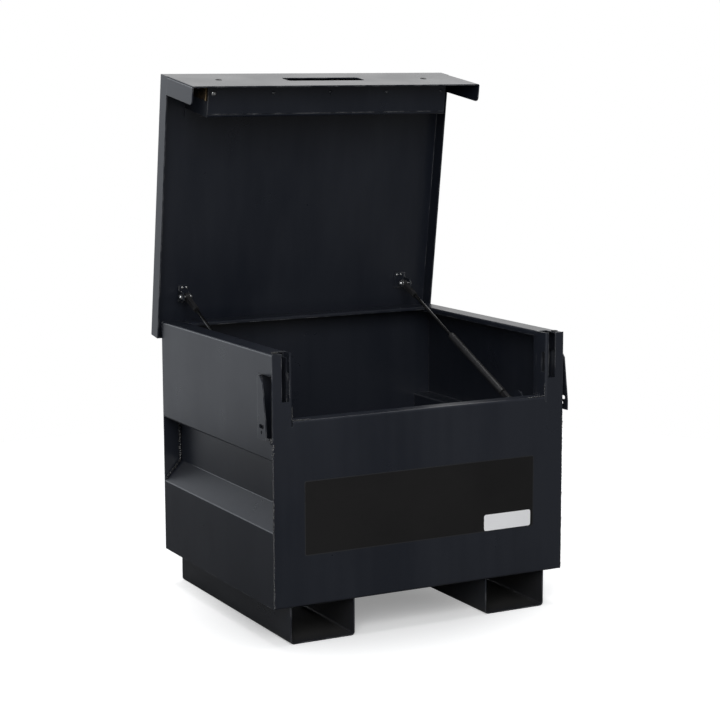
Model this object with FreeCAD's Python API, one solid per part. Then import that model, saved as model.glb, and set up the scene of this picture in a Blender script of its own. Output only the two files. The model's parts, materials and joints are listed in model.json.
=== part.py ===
import FreeCAD, Part
import math
import os

# Jobsite box of folded steel sheet on two fork skids, with a hinged lid on two gas struts.
# Millimetres. X runs to the right, Y to the back and Z up. The lid stands open, as at rest.
# Each piece is drawn with the body's front face at Y 0 and the lid closed, and then placed.

# Body shell
BODY_WIDTH = 741.0
BODY_DEPTH = 620.0
BODY_HEIGHT = 559.5
SHEET = 2.5
BEND = 2.5
GROUND_CORNER = 2.0
FLOOR_FLANGE = 40.0
FLOOR_UPTURN = 22.0

# Rim of the body
SIDE_RIM = 47.0
REAR_RIM = 58.0
RIM_LIP = 12.0
REAR_LIP = 8.0

# Cut-out in the front, with its sill and pillars
PILLAR_WIDTH = 48.0
CUTOUT_DROP = 147.5
SILL_DEPTH = 40.0
SILL_LIP = 12.0
SILL_BEND = 3.5
PILLAR_SLOT_WIDTH = 18.0
PILLAR_SLOT_LENGTH = 104.5
PILLAR_SLOT_INSET = 22.5

# Hand recess along each side
UPPER_PANEL = 233.5
RECESS_DEPTH = 43.0
RECESS_WALL = 109.0
RECESS_SLOPE = 47.2

# Skids for a fork lift
SKID_HEIGHT = 86.0
SKID_WIDTH = 158.5
SKID_INSET = 42.5
SKID_SHEET = 3.0
SKID_BEND = 6.0
SKID_SETBACK = 9.6

# Lid tray with its deep front flange
LID_SHEET = 3.0
LID_BEND = 1.2
LID_SIDE_GAP = 5.0
LID_FRONT_GAP = 3.0
LID_RIM_GAP = 2.0
LID_FLANGE = 41.2
LID_FRONT = 192.0
CHEEK_DEPTH = 43.0
CHEEK_CORNER = 11.0
HAND_SLOT_WIDTH = 204.0
HAND_SLOT_HEIGHT = 45.0
HAND_SLOT_DROP = 97.0
HAND_SLOT_CORNER = 8.0
OPEN_ANGLE = 81.6

# Guards outside the lid's cheeks
GUARD_SHEET = 3.0
GUARD_BEND = 2.0
GUARD_GAP = 5.0
GUARD_HEIGHT = 135.7
GUARD_DROP = 48.8
GUARD_LENGTH = 40.2
GUARD_SETBACK = 2.3
GUARD_JOGGLE = 12.0
GUARD_FOOT = 18.0
GUARD_NOSE = 21.8
GUARD_NOSE_SETBACK = 14.9
GUARD_TOP_CHAMFER = 14.2
GUARD_TOP_SETBACK = 13.0
GUARD_SLOT_LENGTH = 23.0
GUARD_SLOT_HEIGHT = 9.0
GUARD_SLOT_RISE = 28.0
GUARD_HOLE_RADIUS = 4.0
GUARD_HOLE_RISE = 15.0
WINDOW_FRONT = 3.0
WINDOW_DEPTH = 50.0
WINDOW_MARGIN = 3.5
STRIKE_BOX_LAP = 18.0

# Bump stops on the rim
BUMP_HALF = 6.5
BUMP_BEVEL = 2.5
BUMP_SETBACK = 18.0
BUMP_CLEARANCE = 0.3

# Continuous hinge outside the back panel
HINGE_INSET = 20.5
HINGE_DROP = 42.1
KNUCKLE_COUNT = 5
KNUCKLE_RADIUS = 4.5
KNUCKLE_GAP = 0.6
PIN_RADIUS = 2.5
LEAF_SHEET = 2.0
BODY_LEAF = 40.0
LID_LEAF = 36.0
HINGE_CLEARANCE = 0.3
LEAF_CLEARANCE = 0.65
RUNNING = 0.05

# Lock housing in the lid's front flange
HOUSING_GAP = 7.5
HOUSING_DEPTH = 78.0
HOUSING_DROP = 138.6
HOUSING_FLANGE = 20.0
HOUSING_LIP = 7.0
COVER_GAP = 0.6
COVER_UPTURN = 12.0

# Dead locks
BOLT_THICK = 10.0
BOLT_TALL = 36.0
BOLT_LENGTH = 78.0
BOLT_THROW = 18.0
BOLT_RISE = 65.1
BOLT_SETBACK = 15.5
BOLT_PROUD = 0.5
BOLT_PLAY = 0.5
STRIKE_PLAY_DEEP = 2.5
STRIKE_PLAY_TALL = 5.0
KEY_INSET = 42.0
KEY_RISE = 40.0
KEY_RADIUS = 6.0
CAM_REACH = 11.0
CAM_SHEET = 2.5
CAM_CLEARANCE = 1.0
KEY_SLOT_WIDTH = 3.0
KEY_SLOT_HEIGHT = 9.0
CASE_LENGTH = 94.0
CASE_WALL = 6.5
FOREND_SHEET = 2.5
FOREND_WIDTH = 32.0
FOREND_LENGTH = 100.0
FOREND_SETBACK = 8.0
FOREND_RISE = 5.0

# Gas struts
STRUT_INSET = 23.0
LID_STUD_FROM_HINGE = 95.5
LID_STUD_DROP = 30.0
BODY_STUD_SETBACK = 116.1
BODY_STUD_DROP = 172.3
STUD_RADIUS = 4.0
STUD_HEAD = 5.0
HEXAGON_RADIUS = 7.5
EYE_RADIUS = 9.0
EYE_WIDTH = 10.0
FITTING_DEPTH = 11.0
ROD_FITTING = 59.0
TUBE_FITTING = 35.0
ROD_RADIUS = 4.0
ROD_SHOWN = 205.0
ROD_OVERLAP = 30.0
PISTON_LENGTH = 10.0
PISTON_CLEARANCE = 0.2
TUBE_RADIUS = 9.0
TUBE_WALL = 1.5
GLAND = 10.0
TUBE_CAP = 6.0
TAB_OFFSET = 11.0
TAB_SHEET = 3.0
TAB_HALF = 12.0
TAB_CORNER = 7.0
TAB_FOOT_LEAD = 23.0
TAB_FOOT_LENGTH = 40.0
TAB_FOOT_WIDTH = 28.0
NUT_THICK = 4.0
BRACKET_SHEET = 3.2
BRACKET_HALF = 22.0
BRACKET_LAP = 62.0
BRACKET_CLEARANCE = 0.3

# Hole for a cable or a fixing in the back panel
REAR_HOLE_RADIUS = 6.0
REAR_HOLE_X = -282.0
REAR_HOLE_DROP = 20.5

# How far a cut runs past the sheet that it cuts
OVER = 1.0

# Places that follow from the sizes above
HALF = BODY_WIDTH / 2
RIM_Z = SKID_HEIGHT + BODY_HEIGHT
CEILING_Z = RIM_Z - UPPER_PANEL
WALL_FOOT_Z = CEILING_Z - RECESS_WALL
SLOPE_FOOT_Z = WALL_FOOT_Z - RECESS_SLOPE
RECESS_X = HALF - RECESS_DEPTH
RIM_X = HALF - SIDE_RIM
BACK_IN = BODY_DEPTH - SHEET
CUTOUT_X = HALF - PILLAR_WIDTH
SILL_Z = RIM_Z - CUTOUT_DROP
PILLAR_SLOT_OUT = HALF - PILLAR_SLOT_INSET
PILLAR_SLOT_IN = PILLAR_SLOT_OUT - PILLAR_SLOT_WIDTH

HINGE_X = HALF - HINGE_INSET
HINGE_Y = BODY_DEPTH + HINGE_CLEARANCE + KNUCKLE_RADIUS
HINGE_Z = RIM_Z - HINGE_DROP
LID_REAR_IN = BODY_DEPTH + LEAF_CLEARANCE + LEAF_SHEET
LID_REAR = LID_REAR_IN + LID_SHEET
LID_FRONT_IN = -LID_FRONT_GAP
LID_FRONT_Y = LID_FRONT_IN - LID_SHEET
LID_SIDE_IN = HALF + LID_SIDE_GAP
LID_SIDE = LID_SIDE_IN + LID_SHEET
LID_UNDER = RIM_Z + LID_RIM_GAP
LID_TOP = LID_UNDER + LID_SHEET
LID_FLANGE_Z = LID_TOP - LID_FLANGE
LID_FRONT_Z = LID_TOP - LID_FRONT

GUARD_IN = LID_SIDE + GUARD_GAP
GUARD_OUT = GUARD_IN + GUARD_SHEET
GUARD_TOP_Z = RIM_Z - GUARD_DROP
GUARD_Z = GUARD_TOP_Z - GUARD_HEIGHT
GUARD_FRONT_Y = GUARD_SETBACK
GUARD_REAR_Y = GUARD_FRONT_Y + GUARD_LENGTH
GUARD_FOOT_Y = GUARD_REAR_Y + GUARD_JOGGLE
WINDOW_Y = SHEET + WINDOW_FRONT
STRIKE_BOX_Y = WINDOW_Y + WINDOW_DEPTH + WINDOW_MARGIN

HOUSING_X = CUTOUT_X - HOUSING_GAP
HOUSING_Y = LID_FRONT_IN + HOUSING_DEPTH
HOUSING_Z = LID_TOP - HOUSING_DROP
BOLT_Y = LID_FRONT_IN + BOLT_SETBACK
BOLT_Z = HOUSING_Z + BOLT_RISE
KEY_X = HOUSING_X - KEY_INSET
KEY_Z = HOUSING_Z + KEY_RISE
BOLT_FRONT_Y = BOLT_Y - BOLT_THICK / 2
CAM_REAR_Y = BOLT_FRONT_Y - CAM_CLEARANCE
CAM_FRONT_Y = CAM_REAR_Y - CAM_SHEET
BOLT_END_X = HOUSING_X + FOREND_SHEET + BOLT_PROUD

STRUT_X = RIM_X - STRUT_INSET
LID_STUD_Y = HINGE_Y - LID_STUD_FROM_HINGE
LID_STUD_Z = LID_TOP - LID_STUD_DROP
BODY_STUD_Y = BODY_STUD_SETBACK
BODY_STUD_Z = RIM_Z - BODY_STUD_DROP
TAB_IN = STRUT_X + TAB_OFFSET
TAB_OUT = TAB_IN + TAB_SHEET
BRACKET_OUT = RECESS_X - SHEET
BRACKET_IN = BRACKET_OUT - BRACKET_SHEET


def vector(x, y, z):
    return FreeCAD.Vector(x, y, z)


def box(x0, x1, y0, y1, z0, z1):
    return Part.makeBox(x1 - x0, y1 - y0, z1 - z0, vector(x0, y0, z0))


def bar_x(radius, x0, x1, y, z):
    """A round bar along X."""
    return Part.makeCylinder(radius, x1 - x0, vector(x0, y, z), vector(1, 0, 0))


def bar_y(radius, y0, y1, x, z):
    """A round bar along Y."""
    return Part.makeCylinder(radius, y1 - y0, vector(x, y0, z), vector(0, 1, 0))


def bar_z(radius, z0, z1, x=0, y=0):
    """A round bar along Z."""
    return Part.makeCylinder(radius, z1 - z0, vector(x, y, z0))


def joined(*shapes):
    """The shapes as one solid, without the seams between their flush faces."""
    return shapes[0].multiFuse(shapes[1:]).removeSplitter()


def mirrored(shape):
    """The left hand copy of a right hand piece."""
    return shape.mirror(vector(0, 0, 0), vector(1, 0, 0))


def rounded_line(points, radii):
    """Edges from point to point, with each inner point turned into an arc."""
    edges = []
    start = points[0]
    for before, corner, after, radius in zip(points, points[1:], points[2:], radii):
        back = (before - corner).normalize()
        ahead = (after - corner).normalize()
        half_angle = back.getAngle(ahead) / 2
        reach = radius / math.tan(half_angle)
        inward = (back + ahead).normalize() * (radius / math.sin(half_angle) - radius)
        first = corner + back * reach
        last = corner + ahead * reach
        edges.append(Part.LineSegment(start, first).toShape())
        edges.append(Part.Arc(first, corner + inward, last).toShape())
        start = last
    edges.append(Part.LineSegment(start, points[-1]).toShape())
    return edges


def folded(outline, sheet, bend, plane, start, end):
    """Folded sheet: outline has the points of one face, and the sheet lies on its left.

    The plane is XY, XZ or YZ, and the fold runs square to it from start to end."""
    place = {
        "XY": lambda u, v: vector(u, v, start),
        "XZ": lambda u, v: vector(u, start, v),
        "YZ": lambda u, v: vector(start, u, v),
    }[plane]
    along = {"XY": vector(0, 0, 1), "XZ": vector(0, 1, 0), "YZ": vector(1, 0, 0)}[plane]
    normals = []
    for (u0, v0), (u1, v1) in zip(outline, outline[1:]):
        length = math.hypot(u1 - u0, v1 - v0)
        normals.append(((v0 - v1) / length, (u1 - u0) / length))
    near_radii = []
    far_radii = []
    shifts = [normals[0]]
    for (a, b), (c, d) in zip(normals, normals[1:]):
        spread = 1 + a * c + b * d
        shifts.append(((a + c) / spread, (b + d) / spread))
        turns_left = a * d - b * c > 0
        near_radii.append(bend + sheet if turns_left else bend)
        far_radii.append(bend if turns_left else bend + sheet)
    shifts.append(normals[-1])
    near = [place(u, v) for u, v in outline]
    far = [place(u + sheet * a, v + sheet * b) for (u, v), (a, b) in zip(outline, shifts)]
    edges = rounded_line(near, near_radii)
    edges.append(Part.LineSegment(near[-1], far[-1]).toShape())
    edges += rounded_line(far[::-1], far_radii[::-1])
    edges.append(Part.LineSegment(far[0], near[0]).toShape())
    return Part.Face(Part.Wire(edges)).extrude(along * (end - start))


def plate_yz(points, x0, x1):
    """A flat plate across X whose outline has straight sides in Y and Z."""
    corners = [vector(x0, y, z) for y, z in points]
    outline = Part.makePolygon(corners + corners[:1])
    return Part.Face(outline).extrude(vector(x1 - x0, 0, 0))


def hexagon_x(x0, x1, y, z):
    """A hexagon bar along X, for bolt heads and nuts."""
    corners = []
    for index in range(6):
        angle = math.radians(60 * index)
        corners.append((y + HEXAGON_RADIUS * math.cos(angle), z + HEXAGON_RADIUS * math.sin(angle)))
    return plate_yz(corners, x0, x1)


def opened(shape):
    """A piece of the closed lid, turned about the hinge to the open lid at rest."""
    turned = shape.copy()
    turned.rotate(vector(0, HINGE_Y, HINGE_Z), vector(1, 0, 0), -OPEN_ANGLE)
    return turned


def open_place(y, z):
    """Where a point of the closed lid is when the lid is open."""
    angle = math.radians(-OPEN_ANGLE)
    dy = y - HINGE_Y
    dz = z - HINGE_Z
    return (
        HINGE_Y + dy * math.cos(angle) - dz * math.sin(angle),
        HINGE_Z + dy * math.sin(angle) + dz * math.cos(angle),
    )


STUD_OPEN_Y, STUD_OPEN_Z = open_place(LID_STUD_Y, LID_STUD_Z)
STRUT_OPEN = math.hypot(STUD_OPEN_Y - BODY_STUD_Y, STUD_OPEN_Z - BODY_STUD_Z)
STRUT_CLOSED = math.hypot(LID_STUD_Y - BODY_STUD_Y, LID_STUD_Z - BODY_STUD_Z)
TUBE_START = ROD_FITTING + ROD_SHOWN
TUBE_END = STRUT_OPEN - TUBE_FITTING
ROD_END = TUBE_START + GLAND + ROD_OVERLAP


def on_strut(shape):
    """A piece drawn down Z from the lid's stud, laid along the open strut."""
    turn = math.degrees(math.atan2(STUD_OPEN_Y - BODY_STUD_Y, BODY_STUD_Z - STUD_OPEN_Z))
    laid = shape.copy()
    laid.rotate(vector(0, 0, 0), vector(1, 0, 0), turn)
    laid.translate(vector(STRUT_X, STUD_OPEN_Y, STUD_OPEN_Z))
    return laid


# Body

def side_panel():
    """One sheet: lower wall, slope, recess, upper wall, rim and rim lip."""
    outline = [
        (HALF, SKID_HEIGHT),
        (HALF, SLOPE_FOOT_Z),
        (RECESS_X, WALL_FOOT_Z),
        (RECESS_X, CEILING_Z),
        (HALF, CEILING_Z),
        (HALF, RIM_Z),
        (RIM_X, RIM_Z),
        (RIM_X, RIM_Z - RIM_LIP),
    ]
    panel = folded(outline, SHEET, BEND, "XZ", SHEET, BACK_IN)
    pillar_mouth = box(
        RIM_X - OVER, PILLAR_SLOT_OUT, 0, SILL_DEPTH, RIM_Z - RIM_LIP - OVER, RIM_Z + OVER
    )
    window = box(
        HALF - SHEET - OVER, HALF + OVER, WINDOW_Y, WINDOW_Y + WINDOW_DEPTH, GUARD_Z, GUARD_TOP_Z
    )
    return panel.cut(pillar_mouth).cut(window)


def front_panel():
    """Front sheet with its floor flange, the sill's ledge and the pillars' returns."""
    face = [(0, RIM_Z), (0, SKID_HEIGHT), (FLOOR_FLANGE, SKID_HEIGHT)]
    panel = folded(face, SHEET, BEND, "YZ", -HALF, HALF)
    seam = SHEET + SILL_BEND + OVER
    seam_x = CUTOUT_X + seam
    seam_z = SILL_Z - max(seam, SILL_LIP)
    panel = panel.cut(box(-seam_x, seam_x, -OVER, SHEET + OVER, seam_z, RIM_Z + OVER))
    ledge = [
        (SILL_DEPTH, SILL_Z - SILL_LIP),
        (SILL_DEPTH, SILL_Z),
        (0, SILL_Z),
        (0, seam_z),
    ]
    sill = folded(ledge, SHEET, SILL_BEND, "YZ", -CUTOUT_X, CUTOUT_X)
    corner = [(CUTOUT_X, SILL_DEPTH), (CUTOUT_X, 0), (seam_x, 0)]
    pillar = folded(corner, SHEET, SILL_BEND, "XY", seam_z, RIM_Z)
    strike_y = BOLT_THICK / 2 + STRIKE_PLAY_DEEP
    strike_z = BOLT_TALL / 2 + STRIKE_PLAY_TALL
    strike = box(
        CUTOUT_X - OVER, CUTOUT_X + SHEET + OVER,
        BOLT_Y - strike_y, BOLT_Y + strike_y, BOLT_Z - strike_z, BOLT_Z + strike_z,
    )
    slot = box(
        PILLAR_SLOT_IN, PILLAR_SLOT_OUT, -OVER, SHEET + OVER,
        RIM_Z - PILLAR_SLOT_LENGTH, RIM_Z + OVER,
    )
    flange_end = box(
        HALF - SHEET, HALF + OVER, SHEET, FLOOR_FLANGE + OVER,
        SKID_HEIGHT - OVER, SKID_HEIGHT + BEND + SHEET,
    )
    ground = box(
        HALF - GROUND_CORNER, HALF + OVER, -OVER, GROUND_CORNER, SKID_HEIGHT - OVER, RIM_Z + OVER
    )
    ground = ground.cut(
        bar_z(GROUND_CORNER, SKID_HEIGHT - OVER, RIM_Z + OVER, HALF - GROUND_CORNER, GROUND_CORNER)
    )
    panel = joined(panel, sill, pillar, mirrored(pillar))
    for cut in (strike, slot, flange_end, ground):
        panel = panel.cut(cut).cut(mirrored(cut))
    return panel


def back_panel():
    """Full width back plate whose top folds forward to the rear rim."""
    outline = [
        (BODY_DEPTH, SKID_HEIGHT),
        (BODY_DEPTH, RIM_Z),
        (BODY_DEPTH - REAR_RIM, RIM_Z),
        (BODY_DEPTH - REAR_RIM, RIM_Z - REAR_LIP),
    ]
    panel = folded(outline, SHEET, BEND, "YZ", -HALF, HALF)
    corner = box(RIM_X, HALF + OVER, BODY_DEPTH - REAR_RIM - OVER, BACK_IN, CEILING_Z, RIM_Z + OVER)
    hole_z = RIM_Z - REAR_HOLE_DROP
    hole = bar_y(REAR_HOLE_RADIUS, BACK_IN - OVER, BODY_DEPTH + OVER, REAR_HOLE_X, hole_z)
    return panel.cut(corner).cut(mirrored(corner)).cut(hole)


def floor_panel():
    """Floor sheet with its sides turned up inside the walls."""
    edge = HALF - SHEET
    top = SKID_HEIGHT + FLOOR_UPTURN
    outline = [(-edge, top), (-edge, SKID_HEIGHT), (edge, SKID_HEIGHT), (edge, top)]
    return folded(outline, SHEET, BEND, "XZ", FLOOR_FLANGE, BACK_IN)


def skid():
    """U channel under the floor, open at both ends for a fork."""
    outer = HALF - SKID_INSET
    inner = outer - SKID_WIDTH
    outline = [(inner, SKID_HEIGHT), (inner, 0), (outer, 0), (outer, SKID_HEIGHT)]
    return folded(outline, SKID_SHEET, SKID_BEND, "XZ", SKID_SETBACK, BODY_DEPTH)


def strike_box():
    """Angle that closes the pillar behind the strike slot."""
    inner = CUTOUT_X + SHEET
    front = SILL_DEPTH - STRIKE_BOX_LAP
    outline = [(HALF - SHEET, STRIKE_BOX_Y), (inner, STRIKE_BOX_Y), (inner, front)]
    return folded(outline, SHEET, BEND, "XY", CEILING_Z + SHEET + BEND, RIM_Z - RIM_LIP)


def corner_guard():
    """Plate that stands off the side, so that the lid's cheek drops in behind it."""
    foot_x = HALF + GUARD_SHEET
    outline = [
        (GUARD_OUT, GUARD_FRONT_Y),
        (GUARD_OUT, GUARD_REAR_Y),
        (foot_x, GUARD_FOOT_Y),
        (foot_x, GUARD_FOOT_Y + GUARD_FOOT),
    ]
    guard = folded(outline, GUARD_SHEET, GUARD_BEND, "XY", GUARD_Z, GUARD_TOP_Z)
    nose_z = GUARD_Z + GUARD_NOSE
    shoulder_y = GUARD_FRONT_Y + GUARD_NOSE_SETBACK
    shoulder_z = GUARD_TOP_Z - GUARD_TOP_CHAMFER
    waste = plate_yz(
        [
            (GUARD_FRONT_Y - OVER, nose_z),
            (GUARD_FRONT_Y, nose_z),
            (shoulder_y, shoulder_z),
            (shoulder_y + GUARD_TOP_SETBACK, GUARD_TOP_Z),
            (shoulder_y + GUARD_TOP_SETBACK, GUARD_TOP_Z + OVER),
            (GUARD_FRONT_Y - OVER, GUARD_TOP_Z + OVER),
        ],
        GUARD_IN - OVER, GUARD_OUT + OVER,
    )
    centre_y = (GUARD_FRONT_Y + GUARD_REAR_Y) / 2
    end = GUARD_SLOT_HEIGHT / 2
    reach = GUARD_SLOT_LENGTH / 2 - end
    slot_z = GUARD_Z + GUARD_SLOT_RISE
    x0 = GUARD_IN - OVER
    x1 = GUARD_OUT + OVER
    slot = joined(
        box(x0, x1, centre_y - reach, centre_y + reach, slot_z - end, slot_z + end),
        bar_x(end, x0, x1, centre_y - reach, slot_z),
        bar_x(end, x0, x1, centre_y + reach, slot_z),
    )
    hole = bar_x(GUARD_HOLE_RADIUS, x0, x1, centre_y, GUARD_Z + GUARD_HOLE_RISE)
    return guard.cut(waste).cut(slot).cut(hole)


def bump_stop():
    """Low rubber pad with bevelled corners that the closed lid comes down to."""
    x = (PILLAR_SLOT_OUT + HALF - BEND - SHEET) / 2
    pad = box(
        x - BUMP_HALF, x + BUMP_HALF, BUMP_SETBACK - BUMP_HALF, BUMP_SETBACK + BUMP_HALF,
        RIM_Z, LID_UNDER - BUMP_CLEARANCE,
    )
    corners = [edge for edge in pad.Edges if edge.BoundBox.XLength < RUNNING > edge.BoundBox.YLength]
    return pad.makeChamfer(BUMP_BEVEL, corners)


def strut_bracket_body():
    """Plate on the recess wall that carries the foot of the strut."""
    foot_z = CEILING_Z - BRACKET_LAP
    plate = box(
        BRACKET_IN, BRACKET_OUT,
        BODY_STUD_Y - BRACKET_HALF, BODY_STUD_Y + BRACKET_HALF, foot_z, BODY_STUD_Z,
    )
    head = bar_x(BRACKET_HALF, BRACKET_IN, BRACKET_OUT, BODY_STUD_Y, BODY_STUD_Z)
    return joined(plate, head)


# Hinge

def hinge_leaf(first, leaf, notch_z0, notch_z1):
    """Leaf with every second knuckle, from the given one, and notches between them."""
    pitch = 2 * HINGE_X / KNUCKLE_COUNT
    shapes = [leaf]
    notches = []
    for index in range(KNUCKLE_COUNT):
        x0 = -HINGE_X + index * pitch
        x1 = x0 + pitch
        if index % 2 == first:
            x0 += KNUCKLE_GAP / 2
            x1 -= KNUCKLE_GAP / 2
            shapes.append(bar_x(KNUCKLE_RADIUS, x0, x1, HINGE_Y, HINGE_Z))
        else:
            x0 -= KNUCKLE_GAP / 2
            x1 += KNUCKLE_GAP / 2
            notches.append(box(x0, x1, BODY_DEPTH - OVER, HINGE_Y, notch_z0, notch_z1))
    shape = leaf
    for notch in notches:
        shape = shape.cut(notch)
    shape = shape.multiFuse(shapes[1:])
    bore = bar_x(PIN_RADIUS + RUNNING, -HINGE_X - OVER, HINGE_X + OVER, HINGE_Y, HINGE_Z)
    return shape.cut(bore)


def hinge_leaf_body():
    """Leaf on the back panel, below the pin."""
    leaf = box(
        -HINGE_X, HINGE_X, BODY_DEPTH, BODY_DEPTH + LEAF_SHEET, HINGE_Z - BODY_LEAF, HINGE_Z
    )
    return hinge_leaf(0, leaf, HINGE_Z - KNUCKLE_RADIUS - 2 * HINGE_CLEARANCE, HINGE_Z + OVER)


def hinge_leaf_lid():
    """Leaf inside the lid's rear flange, above the pin."""
    leaf = box(
        -HINGE_X, HINGE_X, LID_REAR_IN - LEAF_SHEET, LID_REAR_IN, HINGE_Z, HINGE_Z + LID_LEAF
    )
    return hinge_leaf(1, leaf, HINGE_Z - OVER, HINGE_Z + KNUCKLE_RADIUS + 2 * HINGE_CLEARANCE)


def hinge_pin():
    """One long pin through all the knuckles."""
    return bar_x(PIN_RADIUS, -HINGE_X, HINGE_X, HINGE_Y, HINGE_Z)


# Lid, drawn closed

def lid_wrap():
    """Lower part of the front flange, which turns back into a cheek at each side."""
    rear = LID_FRONT_Y + CHEEK_DEPTH
    outline = [(-LID_SIDE, rear), (-LID_SIDE, LID_FRONT_Y), (LID_SIDE, LID_FRONT_Y), (LID_SIDE, rear)]
    return folded(outline, LID_SHEET, LID_BEND, "XY", LID_FRONT_Z, LID_FLANGE_Z)


def lid_panel():
    """Pressed tray of the lid with its front flange, hand slot and key bores."""
    outer = box(-LID_SIDE, LID_SIDE, LID_FRONT_Y, LID_REAR, LID_FLANGE_Z, LID_TOP)
    upper = [edge for edge in outer.Edges if edge.BoundBox.ZMin > LID_TOP - OVER]
    outer = outer.makeFillet(LID_BEND + LID_SHEET, upper)
    hollow = box(
        -LID_SIDE_IN, LID_SIDE_IN, LID_FRONT_IN, LID_REAR_IN, LID_FLANGE_Z - LID_FLANGE, LID_UNDER
    )
    upper = [edge for edge in hollow.Edges if edge.BoundBox.ZMin > LID_UNDER - OVER]
    hollow = hollow.makeFillet(LID_BEND, upper)
    bend_y = LID_FRONT_IN + LID_BEND
    front = lid_wrap().common(
        box(-LID_SIDE, LID_SIDE, LID_FRONT_Y, bend_y, LID_FRONT_Z, LID_FLANGE_Z)
    )
    tray = joined(outer.cut(hollow), front)
    half = HAND_SLOT_WIDTH / 2
    slot_z = LID_TOP - HAND_SLOT_DROP
    slot = box(
        -half, half, LID_FRONT_Y - OVER, LID_FRONT_IN + OVER,
        slot_z - HAND_SLOT_HEIGHT / 2, slot_z + HAND_SLOT_HEIGHT / 2,
    )
    corners = [edge for edge in slot.Edges if edge.BoundBox.YLength > LID_SHEET]
    tray = tray.cut(slot.makeFillet(HAND_SLOT_CORNER, corners))
    for x in (-KEY_X, KEY_X):
        bore = bar_y(KEY_RADIUS + RUNNING, LID_FRONT_Y - OVER, LID_FRONT_IN + OVER, x, KEY_Z)
        tray = tray.cut(bore)
    return tray


def lid_cheek():
    """Short return of the front flange, which drops behind the corner guard."""
    bend_y = LID_FRONT_IN + LID_BEND
    rear = LID_FRONT_Y + CHEEK_DEPTH
    cheek = lid_wrap().common(box(0, LID_SIDE, bend_y, rear, LID_FRONT_Z, LID_FLANGE_Z))
    corner = [
        edge for edge in cheek.Edges
        if edge.BoundBox.YMin > rear - OVER and edge.BoundBox.ZMax < LID_FRONT_Z + OVER
    ]
    return cheek.makeFillet(CHEEK_CORNER, corner)


def bolt_passage(play, x0, x1):
    """Clear space for a bolt and its play."""
    deep = BOLT_THICK / 2 + play
    tall = BOLT_TALL / 2 + play
    return box(x0, x1, BOLT_Y - deep, BOLT_Y + deep, BOLT_Z - tall, BOLT_Z + tall)


def lock_housing():
    """Rear wall of the lock space, with its flanges and its two end plates."""
    wall_top = LID_UNDER - LID_SHEET
    outline = [
        (HOUSING_Y - HOUSING_LIP, HOUSING_Z),
        (HOUSING_Y, HOUSING_Z),
        (HOUSING_Y, wall_top),
        (HOUSING_Y + HOUSING_FLANGE, wall_top),
    ]
    housing = folded(outline, LID_SHEET, BEND, "YZ", -HOUSING_X, HOUSING_X)
    end_plate = box(
        HOUSING_X - LID_SHEET, HOUSING_X,
        LID_FRONT_IN, HOUSING_Y - LID_SHEET, HOUSING_Z + LID_SHEET, LID_UNDER,
    )
    notch = box(
        0, HOUSING_X + OVER, LID_FRONT_IN - OVER, LID_FRONT_IN + LID_BEND,
        LID_UNDER - LID_BEND, LID_UNDER + OVER,
    )
    end_plate = end_plate.cut(bolt_passage(BOLT_PLAY, 0, HOUSING_X + OVER)).cut(notch)
    return joined(housing, end_plate, mirrored(end_plate))


def lock_cover():
    """Bottom plate of the lock space, turned up along the front flange."""
    outline = [
        (LID_FRONT_IN, HOUSING_Z + COVER_UPTURN),
        (LID_FRONT_IN, HOUSING_Z),
        (HOUSING_Y - HOUSING_LIP - COVER_GAP, HOUSING_Z),
    ]
    upturn_end = HOUSING_X - LID_SHEET
    cover = folded(outline, LID_SHEET, LID_BEND, "YZ", -HOUSING_X, HOUSING_X)
    relief = box(
        upturn_end, HOUSING_X + OVER, LID_FRONT_IN - OVER, LID_FRONT_IN + LID_SHEET + LID_BEND,
        HOUSING_Z + LID_SHEET, HOUSING_Z + COVER_UPTURN + OVER,
    )
    return cover.cut(relief).cut(mirrored(relief))


def lock_case():
    """Lock body behind the flange, with the bolt's passage and the key's bore."""
    outer = HOUSING_X - LID_SHEET
    inner = outer - CASE_LENGTH
    rear = BOLT_Y + BOLT_THICK / 2 + CASE_WALL
    case = box(
        inner, outer, LID_FRONT_IN, rear,
        KEY_Z - CAM_REACH - 2 * CASE_WALL, BOLT_Z + BOLT_TALL / 2 + CASE_WALL,
    )
    passage = bolt_passage(BOLT_PLAY, inner + CASE_WALL, outer + OVER)
    bore = bar_y(KEY_RADIUS + RUNNING, LID_FRONT_IN - OVER, BOLT_Y, KEY_X, KEY_Z)
    sweep = math.hypot(CAM_REACH, KEY_RADIUS / 2) + BOLT_PLAY
    cam_space = box(
        KEY_X - sweep, KEY_X + sweep,
        CAM_FRONT_Y - BOLT_PLAY, BOLT_Y, KEY_Z - sweep, KEY_Z + sweep,
    )
    return case.cut(passage).cut(bore).cut(cam_space)


def lock_forend():
    """Brass plate round the bolt on the end of the housing."""
    y0 = LID_FRONT_IN + FOREND_SETBACK
    z0 = HOUSING_Z + FOREND_RISE
    plate = box(HOUSING_X, HOUSING_X + FOREND_SHEET, y0, y0 + FOREND_WIDTH, z0, z0 + FOREND_LENGTH)
    return plate.cut(bolt_passage(BOLT_PLAY, HOUSING_X - OVER, BOLT_END_X + OVER))


def lock_bolt():
    """Dead bolt, drawn back."""
    return bolt_passage(0, BOLT_END_X - BOLT_LENGTH, BOLT_END_X)


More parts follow.
